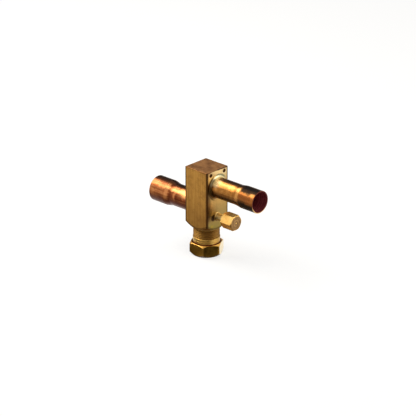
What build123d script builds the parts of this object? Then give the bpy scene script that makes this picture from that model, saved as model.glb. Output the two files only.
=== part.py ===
# Refrigerant service valve, front seating, with two swaged copper tubes, an access port
# with a spring-loaded core, and a hexagonal seal cap over the stem.
# Millimetres. Origin: on the stem axis, at the flat closed end of the seal cap. +Z runs up the
# stem axis, +X is the way the upper tube leaves the block, +Y completes the right hand.
import os
from build123d import *

os.makedirs("parts", exist_ok=True)

# ---- square bar block -------------------------------------------------------------------
BLOCK_SIDE = 31.75       # across the flats of the square bar
BLOCK_BOTTOM = 31.3      # where the turned cone ends
BLOCK_TOP = 98.0         # sawn and faced top
EDGE_ROUND = 0.9         # drawn corner of the bar
TOP_BREAK = 0.3          # deburred top edge
CONE_RISE = 0.84         # height gained per mm of radius on the turned corners
HALF = BLOCK_SIDE / 2

# ---- neck, cap thread and stem bores ----------------------------------------------------
SHOULDER_R = 14.3        # short shoulder under the cone
SHOULDER_H = 0.9
NECK_R = 13.2            # core of the neck thread; its ridges stand 0.75 proud
NECK_END = 5.2           # rim that the cap gasket seals on
NECK_CHAMFER = 0.8
STEM_THREAD_R = 9.6      # tapped bore, plain here
GLAND_R = 8.75           # smooth bore that the stem seals slide in
GLAND_START = 24.7       # step between the tapped and the smooth bore
SEAT_BORE_R = 6.9
RUN = 0.05               # running clearance on radius
TOUCH = 0.05             # clearance left at a conical stop

# ---- tube stubs -------------------------------------------------------------------------
AXIS_GAP = 25.4                  # between the axes of the two tubes
UPPER_Z = BLOCK_TOP - 19.2       # axis heights
LOWER_Z = UPPER_Z - AXIS_GAP
SEAT_START = UPPER_Z - 11.8      # bottom edge of the 45 degree seat
SWAGE_BEND = 6.0                 # how softly the swage runs into the plain tube
SEAT_DEPTH = 5.0         # how deep a tube sits in the block
PASSAGE_R = 8.0
PASSAGE_START = 5.0      # how far past the stem axis a passage is bored
TUBE_GAP = 0.07          # braze gap round a tube in its seat
TUBE_WALL = 1.14
SWAGE_WALL = 1.05

UPPER_TUBE_R = 11.11     # outside radius of the 22.2 mm tube
UPPER_SOCKET_R = 11.18   # inside radius of the swaged mouth, for a 22.2 mm line
UPPER_END = 75.7         # all from the stem axis
UPPER_SWAGE = (47.6, 55.2)

LOWER_TUBE_R = 12.1      # the lower stub is a little wider
LOWER_SOCKET_R = 12.75   # for a 25.4 mm line
LOWER_END = 70.9
LOWER_SWAGE = (43.1, 50.9)
BRAZE_LEG = 1.7          # leg of the braze fillet on the tube and on the block

# ---- two tapped holes for the bracket ---------------------------------------------------
BOLT_R = 2.0
BOLT_Z = BLOCK_TOP - 3.6
BOLT_SPACING = 20.3
BOLT_DEPTH = 9.0

# ---- access port ------------------------------------------------------------------------
PORT_Z = LOWER_Z - 7.9
PORT_SHANK_R = 4.0
PORT_SEAT = 4.5          # depth of the shank in the block
PORT_HOLE_R = 1.75
PORT_BARREL_R = 4.85     # core of the port thread
PORT_BARREL_START = 26.9
PORT_NOSE_START = 36.6
PORT_NOSE_R = 3.6
PORT_END = 38.6
PORT_FILLET = 1.0
CORE_BORE_R = 2.8
CORE_BORE_END = 26.3

# ---- access port cap --------------------------------------------------------------------
PCAP_AF = 15.6
PCAP_START = 27.2
PCAP_END = 42.5
PCAP_SEAL_T = 0.8

# ---- seal cap ---------------------------------------------------------------------------
CAP_AF = 32.4
CAP_HEX_TOP = 13.5
CAP_TOP = 19.6
COLLAR_R = 14.5 
CAP_GASKET_T = 1.6
ROOT_GROOVE = 0.35       # groove where the collar meets the hexagon
FINE_LINE = 0.2          # turned line round the collar
RIM_BREAK = 0.3
CAP_CLEAR = 0.1
CAP_TOP_CIRCLE = 15.9    # radius where the 30 degree chamfer meets the hexagon's top
CAP_END_CIRCLE = 15.5    # radius where the end chamfer meets the flat end

# ---- stem -------------------------------------------------------------------------------
STEM_TRAVEL = 12.7       # ten turns of a 1.27 mm thread
RING_T = 1.0             # retaining ring
RING_Z = 6.0
RING_W = 2.3             # how wide the ring is, and the gap that lets it be squeezed
RING_GAP = 3.0
STEM_END = RING_Z + RING_T
STEM_THREAD_END = 11.6
STEM_KEY_AF = 7.94
STEM_KEY_DEPTH = 9.0
SEAL_W = 1.9             # groove width
SEAL_1 = 25.1
SEAL_2 = 28.0
SEAL_SECTION_R = 0.85
SHANK_R = 4.5
HEAD_R = 7.6
HEAD_T = 2.0
HEAD_TIP_R = 5.6

STEM_R = GLAND_R - RUN
HEAD_Z = SEAT_START + GLAND_R - HEAD_R - TOUCH - STEM_TRAVEL


def turned(points, axis=Axis.Z, mode=Mode.ADD):
    """Revolve a closed profile given as (radius, height) or (x, z) points."""
    with BuildSketch(Plane.XZ) as section:
        with BuildLine():
            Polyline(*points, close=True)
        make_face()
    revolve(section.sketch, axis=axis, mode=mode)


def along_x(height):
    return Axis((0, 0, height), (1, 0, 0))


def passage(side, height, seat_r):
    """Bore a passage from the stem bore out through one face, with the seat of its tube."""
    seat = side * (HALF - SEAT_DEPTH)
    turned([(-side * PASSAGE_START, height), (-side * PASSAGE_START, height + PASSAGE_R),
            (seat, height + PASSAGE_R), (seat, height + seat_r),
            (side * HALF * 1.1, height + seat_r), (side * HALF * 1.1, height)],
           axis=along_x(height), mode=Mode.SUBTRACT)


# ---- valve body: one bar, turned at its lower end and bored from the neck ---------------
with BuildPart() as valve_body:
    with BuildSketch(Plane.XY.offset(BLOCK_BOTTOM)):
        RectangleRounded(BLOCK_SIDE, BLOCK_SIDE, EDGE_ROUND)
    extrude(amount=BLOCK_TOP - BLOCK_BOTTOM)
    chamfer(valve_body.faces().sort_by(Axis.Z)[-1].edges(), length=TOP_BREAK)
    reach = HALF * 1.5
    turned([(0, BLOCK_BOTTOM), (HALF, BLOCK_BOTTOM),
            (reach, BLOCK_BOTTOM + (reach - HALF) * CONE_RISE),
            (reach, BLOCK_TOP), (0, BLOCK_TOP)], mode=Mode.INTERSECT)
    turned([(0, NECK_END), (NECK_R - NECK_CHAMFER, NECK_END), (NECK_R, NECK_END + NECK_CHAMFER),
            (NECK_R, BLOCK_BOTTOM - SHOULDER_H), (SHOULDER_R, BLOCK_BOTTOM - SHOULDER_H),
            (SHOULDER_R, BLOCK_BOTTOM + 1), (0, BLOCK_BOTTOM + 1)])
    # bores from the neck end: tapped bore, gland, seat cone, upper bore with its drill point
    top = UPPER_Z + PASSAGE_R - 1.0
    turned([(0, NECK_END - 1), (STEM_THREAD_R, NECK_END - 1), (STEM_THREAD_R, GLAND_START),
            (GLAND_R, GLAND_START), (GLAND_R, SEAT_START),
            (SEAT_BORE_R, SEAT_START + GLAND_R - SEAT_BORE_R), (SEAT_BORE_R, top),
            (0, top + SEAT_BORE_R * 0.58)], mode=Mode.SUBTRACT)
    # groove of the retaining ring
    turned([(STEM_THREAD_R - 0.5, RING_Z), (STEM_THREAD_R + 0.75, RING_Z),
            (STEM_THREAD_R + 0.75, STEM_END), (STEM_THREAD_R - 0.5, STEM_END)], mode=Mode.SUBTRACT)
    # upper passage and its tube socket
    passage(1, UPPER_Z, UPPER_TUBE_R + TUBE_GAP)
    # lower passage and its tube socket
    passage(-1, LOWER_Z, LOWER_TUBE_R + TUBE_GAP)
    # access port hole and its socket
    turned([(4.0, PORT_Z), (4.0, PORT_Z + PORT_HOLE_R), (HALF - PORT_SEAT, PORT_Z + PORT_HOLE_R),
            (HALF - PORT_SEAT, PORT_Z + PORT_SHANK_R + RUN), (HALF + 1, PORT_Z + PORT_SHANK_R + RUN),
            (HALF + 1, PORT_Z)], axis=along_x(PORT_Z), mode=Mode.SUBTRACT)
    # two tapped holes for the bracket
    with BuildSketch(Plane.YZ.offset(HALF)):
        with Locations((-BOLT_SPACING / 2, BOLT_Z), (BOLT_SPACING / 2, BOLT_Z)):
            Circle(BOLT_R)
    extrude(amount=-BOLT_DEPTH, mode=Mode.SUBTRACT)
valve_body.part.label = "valve_body"
export_step(valve_body.part, "parts/valve_body.step")


def tube_profile(side, axis_z, tube_r, socket_r, swage, end):
    """Closed half section of a tube with a swaged socket; side is +1 or -1 along X."""
    inner, big = tube_r - TUBE_WALL, socket_r + SWAGE_WALL
    start = HALF - SEAT_DEPTH
    s0, s1 = swage
    outside = [(start, tube_r), (s0, tube_r), (s1, big), (end, big)]
    inside = [(end, socket_r), (s1, socket_r), (s0, inner), (start, inner)]
    return [(side * x, axis_z + r) for x, r in outside + inside]


def swaged_tube(side, axis_z, tube_r, socket_r, swage, end):
    """Revolve the tube's section, with the bends of the swage eased."""
    pts = tube_profile(side, axis_z, tube_r, socket_r, swage, end)
    with BuildSketch(Plane.XZ) as section:
        with BuildLine():
            Polyline(*pts, close=True)
        make_face()
        lo, hi = swage
        bends = [v for v in section.vertices()
                 if min(abs(abs(v.X) - lo), abs(abs(v.X) - hi)) < 0.01]
        fillet(bends, radius=SWAGE_BEND)
        mouth = [v for v in section.vertices() if abs(abs(v.X) - end) < 0.01]
        fillet(mouth, radius=0.35)
    revolve(section.sketch, axis=along_x(axis_z))


with BuildPart() as upper_tube:
    swaged_tube(1, UPPER_Z, UPPER_TUBE_R, UPPER_SOCKET_R, UPPER_SWAGE, UPPER_END)
upper_tube.part.label = "upper_tube"
export_step(upper_tube.part, "parts/upper_tube.step")

with BuildPart() as lower_tube:
    swaged_tube(-1, LOWER_Z, LOWER_TUBE_R, LOWER_SOCKET_R, LOWER_SWAGE, LOWER_END)
lower_tube.part.label = "lower_tube"
export_step(lower_tube.part, "parts/lower_tube.step")


def braze_ring(side, axis_z, tube_r, leg):
    """Concave fillet of braze between a tube and the flat of the block."""
    face = side * HALF
    with BuildSketch(Plane.XZ) as section:
        with BuildLine():
            Line((face, axis_z + tube_r), (face, axis_z + tube_r + leg))
            ThreePointArc((face, axis_z + tube_r + leg),
                          (face + side * leg * 0.36, axis_z + tube_r + leg * 0.36),
                          (face + side * leg, axis_z + tube_r))
            Line((face + side * leg, axis_z + tube_r), (face, axis_z + tube_r))
        make_face()
    revolve(section.sketch, axis=along_x(axis_z))


with BuildPart() as upper_braze_fillet:
    braze_ring(1, UPPER_Z, UPPER_TUBE_R, BRAZE_LEG)
upper_braze_fillet.part.label = "upper_braze_fillet"
export_step(upper_braze_fillet.part, "parts/upper_braze_fillet.step")

with BuildPart() as lower_braze_fillet:
    braze_ring(-1, LOWER_Z, LOWER_TUBE_R, BRAZE_LEG)
lower_braze_fillet.part.label = "lower_braze_fillet"
export_step(lower_braze_fillet.part, "parts/lower_braze_fillet.step")

# ---- access port: shank brazed into the block, threaded barrel, core bore ----------------
with BuildPart() as port_fitting:
    z = PORT_Z
    turned([(HALF - PORT_SEAT, z), (HALF - PORT_SEAT, z + PORT_SHANK_R),
            (PORT_BARREL_START, z + PORT_SHANK_R), (PORT_BARREL_START, z + PORT_BARREL_R),
            (PORT_NOSE_START, z + PORT_BARREL_R),
            (PORT_NOSE_START + PORT_BARREL_R - PORT_NOSE_R, z + PORT_NOSE_R),
            (PORT_END, z + PORT_NOSE_R), (PORT_END, z)], axis=along_x(z))
    turned([(HALF - PORT_SEAT - 1, z), (HALF - PORT_SEAT - 1, z + PORT_HOLE_R),
            (CORE_BORE_END - 0.8, z + PORT_HOLE_R), (CORE_BORE_END, z + CORE_BORE_R),
            (PORT_END + 1, z + CORE_BORE_R), (PORT_END + 1, z)],
           axis=along_x(z), mode=Mode.SUBTRACT)
port_fitting.part.label = "port_fitting"
export_step(port_fitting.part, "parts/port_fitting.step")

with BuildPart() as port_braze_fillet:
    braze_ring(1, PORT_Z, PORT_SHANK_R, PORT_FILLET)
port_braze_fillet.part.label = "port_braze_fillet"
export_step(port_braze_fillet.part, "parts/port_braze_fillet.step")

# ---- spring-loaded core inside the port --------------------------------------------------
CORE_R = CORE_BORE_R - RUN
CORE_TOP = PORT_END - 1.0
CORE_THREAD_END = CORE_TOP - 3.2
CORE_FOOT = 29.6             # lower face of the barrel, which the washer closes on
CORE_BARREL_R = 2.0
CHAMBER_R = 1.45
PIN_R = 0.6
PIN_CLEAR = 0.08
COLLAR_X = (35.4, 36.1)
WASHER_T = 0.7
PIN_FOOT_T = 0.5
PIN_FOOT_R = 1.8
GASKET_W = 2.2
GASKET_CONE = 1.2
GASKET_STEP = 0.25

with BuildPart() as core_body:
    z = PORT_Z
    turned([(CORE_FOOT, z + PIN_R + PIN_CLEAR + 0.2), (CORE_FOOT, z + CORE_BARREL_R),
            (CORE_THREAD_END, z + CORE_BARREL_R), (CORE_THREAD_END, z + CORE_R),
            (CORE_TOP, z + CORE_R), (CORE_TOP, z + PIN_R + PIN_CLEAR),
            (COLLAR_X[1], z + PIN_R + PIN_CLEAR), (COLLAR_X[1], z + CHAMBER_R),
            (CORE_FOOT + 0.8, z + CHAMBER_R), (CORE_FOOT + 0.8, z + PIN_R + PIN_CLEAR + 0.2)],
           axis=along_x(z))
core_body.part.label = "core_body"
export_step(core_body.part, "parts/core_body.step")

with BuildPart() as core_gasket:
    z = PORT_Z
    low = CORE_THREAD_END - GASKET_W
    turned([(low, z + CORE_BARREL_R), (low, z + CORE_R - GASKET_STEP),
            (low + GASKET_CONE, z + CORE_R), (CORE_THREAD_END, z + CORE_R),
            (CORE_THREAD_END, z + CORE_BARREL_R)], axis=along_x(z))
core_gasket.part.label = "core_gasket"
export_step(core_gasket.part, "parts/core_gasket.step")

with BuildPart() as core_pin:
    z = PORT_Z
    foot = CORE_FOOT - WASHER_T
    turned([(foot - PIN_FOOT_T, z), (foot - PIN_FOOT_T, z + PIN_FOOT_R), (foot, z + PIN_FOOT_R),
            (foot, z + PIN_R), (COLLAR_X[0], z + PIN_R), (COLLAR_X[0], z + CHAMBER_R - 0.12),
            (COLLAR_X[1] - 0.02, z + CHAMBER_R - 0.12), (COLLAR_X[1] - 0.02, z + PIN_R),
            (CORE_TOP + 0.35, z + PIN_R), (CORE_TOP + 0.5, z + PIN_R - 0.15), (CORE_TOP + 0.5, z)],
           axis=along_x(z))
core_pin.part.label = "core_pin"
export_step(core_pin.part, "parts/core_pin.step")

with BuildPart() as core_seat_washer:
    z = PORT_Z
    turned([(CORE_FOOT - WASHER_T, z + PIN_R), (CORE_FOOT - WASHER_T, z + PIN_FOOT_R),
            (CORE_FOOT, z + PIN_FOOT_R), (CORE_FOOT, z + PIN_R)], axis=along_x(z))
core_seat_washer.part.label = "core_seat_washer"
export_step(core_seat_washer.part, "parts/core_seat_washer.step")

SPRING_R = 1.03
SPRING_WIRE = 0.17
with BuildPart() as core_spring:
    z = PORT_Z
    low = CORE_FOOT + 0.8 + SPRING_WIRE + 0.01
    high = COLLAR_X[0] - SPRING_WIRE - 0.01
    with BuildLine():
        coil = Helix(pitch=(high - low) / 5.0, height=high - low, radius=SPRING_R,
                     center=(low, 0, z), direction=(1, 0, 0))
    with BuildSketch(Plane(origin=coil @ 0, z_dir=coil % 0)):
        Circle(SPRING_WIRE)
    sweep(path=coil, is_frenet=True)
core_spring.part.label = "core_spring"
export_step(core_spring.part, "parts/core_spring.step")

# ---- access port cap and its seal --------------------------------------------------------
PCAP_R = PCAP_AF / 2 / 0.8660254
PCAP_CIRCLE = PCAP_AF / 2 * 0.96
with BuildPart() as port_cap:
    z = PORT_Z
    with BuildSketch(Plane.YZ.offset(PCAP_START)):
        with Locations((0, z)):
            RegularPolygon(radius=PCAP_R, side_count=6)
    extrude(amount=PCAP_END - PCAP_START)
    slope = 0.62
    turned([(PCAP_START, z), (PCAP_START, z + PCAP_CIRCLE),
            (PCAP_START + (PCAP_R + 1 - PCAP_CIRCLE) * 0.58, z + PCAP_R + 1),
            (PCAP_END - (PCAP_R + 1 - PCAP_CIRCLE) * slope, z + PCAP_R + 1),
            (PCAP_END, z + PCAP_CIRCLE), (PCAP_END, z)], axis=along_x(z), mode=Mode.INTERSECT)
    turned([(PCAP_START - 1, z), (PCAP_START - 1, z + PORT_BARREL_R + RUN),
            (PORT_END + PCAP_SEAL_T, z + PORT_BARREL_R + RUN), (PORT_END + PCAP_SEAL_T, z)],
           axis=along_x(z), mode=Mode.SUBTRACT)
    # small turned centre mark in the closed end
    turned([(PCAP_END - 0.5, z), (PCAP_END + 0.1, z + 0.9), (PCAP_END + 0.1, z)],
           axis=along_x(z), mode=Mode.SUBTRACT)
port_cap.part.label = "port_cap"
export_step(port_cap.part, "parts/port_cap.step")

with BuildPart() as port_cap_seal:
    with BuildSketch(Plane.YZ.offset(PORT_END)):
        with Locations((0, PORT_Z)):
            Circle(PORT_BARREL_R)
    extrude(amount=PCAP_SEAL_T)
port_cap_seal.part.label = "port_cap_seal"
export_step(port_cap_seal.part, "parts/port_cap_seal.step")

# ---- stem, its seals and the ring that keeps it in ---------------------------------------
with BuildPart() as stem:
    groove = STEM_R - 2 * SEAL_SECTION_R - RUN
    turned([(0, STEM_END), (STEM_THREAD_R - RUN - 0.5, STEM_END), (STEM_THREAD_R - RUN, STEM_END + 0.5),
            (STEM_THREAD_R - RUN, STEM_THREAD_END), (STEM_R, STEM_THREAD_END),
            (STEM_R, SEAL_1), (groove, SEAL_1), (groove, SEAL_1 + SEAL_W),
            (STEM_R, SEAL_1 + SEAL_W), (STEM_R, SEAL_2), (groove, SEAL_2),
            (groove, SEAL_2 + SEAL_W), (STEM_R, SEAL_2 + SEAL_W), (STEM_R, SEAL_2 + SEAL_W + 1.0),
            (SHANK_R, SEAL_2 + SEAL_W + 2.5), (SHANK_R, HEAD_Z - HEAD_T), (HEAD_R, HEAD_Z - HEAD_T),
            (HEAD_R, HEAD_Z), (HEAD_TIP_R, HEAD_Z + HEAD_R - HEAD_TIP_R),
            (0, HEAD_Z + HEAD_R - HEAD_TIP_R)])
    with BuildSketch(Plane.XY.offset(STEM_END)):
        RegularPolygon(radius=STEM_KEY_AF / 2, side_count=6, major_radius=False)
    extrude(amount=STEM_KEY_DEPTH, mode=Mode.SUBTRACT)
stem.part.label = "stem"
export_step(stem.part, "parts/stem.step")


def seal_ring(groove_start):
    with BuildSketch(Plane.XZ) as section:
        with Locations((STEM_R - SEAL_SECTION_R, groove_start + SEAL_W / 2)):
            Circle(SEAL_SECTION_R)
    revolve(section.sketch, axis=Axis.Z)


with BuildPart() as stem_o_ring_outer:
    seal_ring(SEAL_1)
stem_o_ring_outer.part.label = "stem_o_ring_outer"
export_step(stem_o_ring_outer.part, "parts/stem_o_ring_outer.step")

with BuildPart() as stem_o_ring_inner:
    seal_ring(SEAL_2)
stem_o_ring_inner.part.label = "stem_o_ring_inner"
export_step(stem_o_ring_inner.part, "parts/stem_o_ring_inner.step")

with BuildPart() as stem_retaining_ring:
    with BuildSketch(Plane.XY.offset(RING_Z)):
        Circle(STEM_THREAD_R + 0.7)
        Circle(STEM_THREAD_R + 0.7 - RING_W, mode=Mode.SUBTRACT)
        with Locations((STEM_THREAD_R, 0)):
            Rectangle(3 * RING_W, RING_GAP, mode=Mode.SUBTRACT)
    extrude(amount=RING_T)
stem_retaining_ring.part.label = "stem_retaining_ring"
export_step(stem_retaining_ring.part, "parts/stem_retaining_ring.step")

# ---- seal cap and its gasket -------------------------------------------------------------
CAP_R = CAP_AF / 2 / 0.8660254
CAP_FLOOR = NECK_END - CAP_GASKET_T
with BuildPart() as seal_cap:
    with BuildSketch(Plane.XY):
        RegularPolygon(radius=CAP_R, side_count=6)
    extrude(amount=CAP_HEX_TOP)
    over = CAP_R + 1
    turned([(0, 0), (CAP_END_CIRCLE, 0), (over, (over - CAP_END_CIRCLE) * 1.05),
            (over, CAP_HEX_TOP - (over - CAP_TOP_CIRCLE) * 0.6),
            (CAP_TOP_CIRCLE, CAP_HEX_TOP), (0, CAP_HEX_TOP)], mode=Mode.INTERSECT)
    # turned collar: root groove, a fine line near its top and a broken rim
    root, line = COLLAR_R - ROOT_GROOVE, CAP_TOP - 2.7
    turned([(0, CAP_HEX_TOP - 1), (root, CAP_HEX_TOP - 1), (root, CAP_HEX_TOP + 0.6),
            (COLLAR_R, CAP_HEX_TOP + 0.7), (COLLAR_R, line - FINE_LINE), (COLLAR_R - FINE_LINE, line),
            (COLLAR_R, line + FINE_LINE), (COLLAR_R, CAP_TOP - RIM_BREAK),
            (COLLAR_R - RIM_BREAK, CAP_TOP), (0, CAP_TOP)])
    bore = NECK_R + CAP_CLEAR
    turned([(0, CAP_FLOOR), (bore, CAP_FLOOR), (bore, CAP_TOP - RIM_BREAK),
            (bore + RIM_BREAK, CAP_TOP), (0, CAP_TOP)], mode=Mode.SUBTRACT)
seal_cap.part.label = "seal_cap"
export_step(seal_cap.part, "parts/seal_cap.step")

with BuildPart() as seal_cap_gasket:
    with BuildSketch(Plane.XY.offset(CAP_FLOOR)):
        Circle(NECK_R)
        Circle(STEM_THREAD_R, mode=Mode.SUBTRACT)
    extrude(amount=CAP_GASKET_T)
seal_cap_gasket.part.label = "seal_cap_gasket"
export_step(seal_cap_gasket.part, "parts/seal_cap_gasket.step")
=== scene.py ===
# %% [markdown]
# # A refrigerant service valve
#
# The valve is a square brass bar with a threaded neck, two swaged copper stubs, an access port
# under a small hexagonal cap and a large hexagonal seal cap over its stem. The solids come
# finished from the CAD source. What is left for Blender is what a lathe, a torch and a few
# months on a shelf do to them: threads, tool marks, tarnish, heat colours and light.

import math

import bpy
from mathutils import Matrix, Vector


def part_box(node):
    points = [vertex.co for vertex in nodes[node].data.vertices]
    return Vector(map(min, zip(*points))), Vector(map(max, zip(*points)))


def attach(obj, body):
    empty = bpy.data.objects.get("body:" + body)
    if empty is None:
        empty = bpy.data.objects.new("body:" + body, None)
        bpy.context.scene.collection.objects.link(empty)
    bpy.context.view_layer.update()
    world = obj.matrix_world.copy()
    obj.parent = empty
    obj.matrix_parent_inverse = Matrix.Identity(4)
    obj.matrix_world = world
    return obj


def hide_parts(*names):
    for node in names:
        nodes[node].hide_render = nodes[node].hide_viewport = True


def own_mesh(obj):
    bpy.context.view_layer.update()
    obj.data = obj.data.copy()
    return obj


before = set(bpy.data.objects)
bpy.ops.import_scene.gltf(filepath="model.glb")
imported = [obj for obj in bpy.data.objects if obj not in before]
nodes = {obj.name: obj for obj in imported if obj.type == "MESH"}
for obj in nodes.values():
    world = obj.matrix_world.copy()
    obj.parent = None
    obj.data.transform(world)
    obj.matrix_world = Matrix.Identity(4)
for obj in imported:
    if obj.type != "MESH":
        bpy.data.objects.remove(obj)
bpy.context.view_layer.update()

# %% [markdown]
# ## Measures
#
# A box gives two corners, in metres. `MM` keeps small sizes readable. Two heights and a slope
# can't be read from a box, and are given as they are in the CAD source.

# %% measures taken from the solids
MM = 0.001
body_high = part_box("valve_body")[1]
cap_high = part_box("seal_cap")[1]
port_cap_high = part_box("port_cap")[1]
gasket_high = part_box("seal_cap_gasket")[1]
upper_low, upper_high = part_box("upper_tube")
lower_low, lower_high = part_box("lower_tube")
fitting_low, fitting_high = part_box("port_fitting")

HALF = body_high.x
BLOCK_TOP = body_high.z
UPPER_Z = (upper_low.z + upper_high.z) / 2
LOWER_Z = (lower_low.z + lower_high.z) / 2
PORT_Z = (fitting_low.z + fitting_high.z) / 2
NECK_R = gasket_high.x
NECK_END = gasket_high.z
CAP_TOP = cap_high.z
BLOCK_BOTTOM = 31.3 * MM
CONE_RISE = 0.84  # height gained per metre of radius where the corners were turned off
HEX_TOP = 13.5 * MM
print(f"block top {BLOCK_TOP / MM:.1f} mm, neck radius {NECK_R / MM:.2f} mm")

# %% [markdown]
# ## Threads
#
# A screw thread is a ridge that follows a helix, so one small Geometry Nodes tree can cut every
# thread on the valve: a spiral curve carries a kite-shaped section, whose outer half stands proud
# of the core while its inner half is buried in it. The section shrinks towards both ends, as a
# thread runs out on the real piece. Radius, depth, pitch and turns are the tree's named inputs.
# A Screw modifier would give the same helix, but not the run-out.


# %% the thread tree
POINTS_PER_TURN = 56
FLANK = 0.48  # half the section's height, as a share of the pitch


def thread_tree(material):
    tree = bpy.data.node_groups.new("thread_ridge", "GeometryNodeTree")
    sockets = {}
    for name in ("Radius", "Depth", "Pitch", "Turns"):
        made = tree.interface.new_socket(name, in_out="INPUT", socket_type="NodeSocketFloat")
        sockets[name] = made.identifier
    tree.interface.new_socket("Geometry", in_out="OUTPUT", socket_type="NodeSocketGeometry")
    add, link = tree.nodes.new, tree.links.new
    inputs = add("NodeGroupInput").outputs

    def maths(operation, first, second):
        node = add("ShaderNodeMath")
        node.operation = operation
        for slot, value in enumerate((first, second)):
            if isinstance(value, (int, float)):
                node.inputs[slot].default_value = value
            else:
                link(value, node.inputs[slot])
        return node.outputs[0]

    spiral = add("GeometryNodeCurveSpiral")
    spiral.inputs["Resolution"].default_value = POINTS_PER_TURN
    link(inputs["Turns"], spiral.inputs["Rotations"])
    link(inputs["Radius"], spiral.inputs["Start Radius"])
    link(inputs["Radius"], spiral.inputs["End Radius"])
    link(maths("MULTIPLY", inputs["Pitch"], inputs["Turns"]), spiral.inputs["Height"])
    upright = add("GeometryNodeSetCurveNormal")
    upright.mode = "Z_UP"
    link(spiral.outputs[0], upright.inputs["Curve"])
    # run-out: the section grows over the first half turn and shrinks over the last
    along = add("GeometryNodeSplineParameter").outputs["Factor"]
    from_start = maths("MULTIPLY", maths("MULTIPLY", along, inputs["Turns"]), 2.0)
    to_end = maths("MULTIPLY", maths("SUBTRACT", 1.0, along),
                   maths("MULTIPLY", inputs["Turns"], 2.0))
    fade = maths("MAXIMUM", maths("MINIMUM", maths("MINIMUM", from_start, to_end), 1.0), 0.02)
    thickness = add("GeometryNodeSetCurveRadius")
    link(upright.outputs[0], thickness.inputs["Curve"])
    link(fade, thickness.inputs["Radius"])
    section = add("GeometryNodeCurvePrimitiveQuadrilateral")
    section.mode = "KITE"
    link(maths("MULTIPLY", inputs["Depth"], 2.0), section.inputs["Width"])
    half_height = maths("MULTIPLY", inputs["Pitch"], FLANK)
    link(half_height, section.inputs["Bottom Height"])
    link(half_height, section.inputs["Top Height"])
    sweep = add("GeometryNodeCurveToMesh")
    link(thickness.outputs[0], sweep.inputs["Curve"])
    link(section.outputs[0], sweep.inputs["Profile Curve"])
    sweep.inputs["Fill Caps"].default_value = True
    real = add("GeometryNodeRealizeInstances")
    link(sweep.outputs[0], real.inputs[0])
    dress = add("GeometryNodeSetMaterial")
    link(real.outputs[0], dress.inputs["Geometry"])
    dress.inputs["Material"].default_value = material
    link(dress.outputs[0], add("NodeGroupOutput").inputs[0])
    return tree, sockets


# %% [markdown]
# ## From tree to piece
#
# The tree grows on an empty holder. Its result is copied out as a plain mesh, which is turned
# and moved into place, so that the piece itself stands at the origin like every solid does. Flat
# shading keeps the flanks of the thread crisp.


# %% one finished thread as a plain mesh
def cut_thread(name, body, finish, radius, depth, pitch, turns, place):
    tree, sockets = thread_tree(finish)
    holder = bpy.data.objects.new(name + "_maker", bpy.data.meshes.new(name + "_maker"))
    bpy.context.scene.collection.objects.link(holder)
    maker = holder.modifiers.new("ridge", "NODES")
    maker.node_group = tree
    for socket, value in (("Radius", radius), ("Depth", depth), ("Pitch", pitch), ("Turns", turns)):
        maker[sockets[socket]] = value
    grown = holder.evaluated_get(bpy.context.evaluated_depsgraph_get())
    mesh = bpy.data.meshes.new_from_object(grown)
    mesh.transform(place)
    mesh.name = name
    bpy.data.objects.remove(holder)
    thread = bpy.data.objects.new(name, mesh)
    bpy.context.scene.collection.objects.link(thread)
    for polygon in mesh.polygons:
        polygon.use_smooth = False
    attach(thread, body)
    print(f"{name}: {turns:g} turns, {len(mesh.polygons)} faces")


# %% [markdown]
# ## Paint recipes
#
# A finish is built from a few ideas again and again: a noise pulled long in one direction for
# brush marks, a smooth window over a range of heights, and a coat of another tone laid over a
# masked part. `Finish` is a small bench of such tools around one material. All patterns read
# Object coordinates, so they stay on the metal when a piece moves. Colours are written as a
# paint chip would be read, 0 to 255, and `tone` turns them into the linear values that the
# shader wants.


# %% the finish bench
def tone(red, green, blue):
    def linear(channel):
        share = channel / 255
        return share / 12.92 if share <= 0.04045 else ((share + 0.055) / 1.055) ** 2.4

    return (linear(red), linear(green), linear(blue), 1.0)


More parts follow.
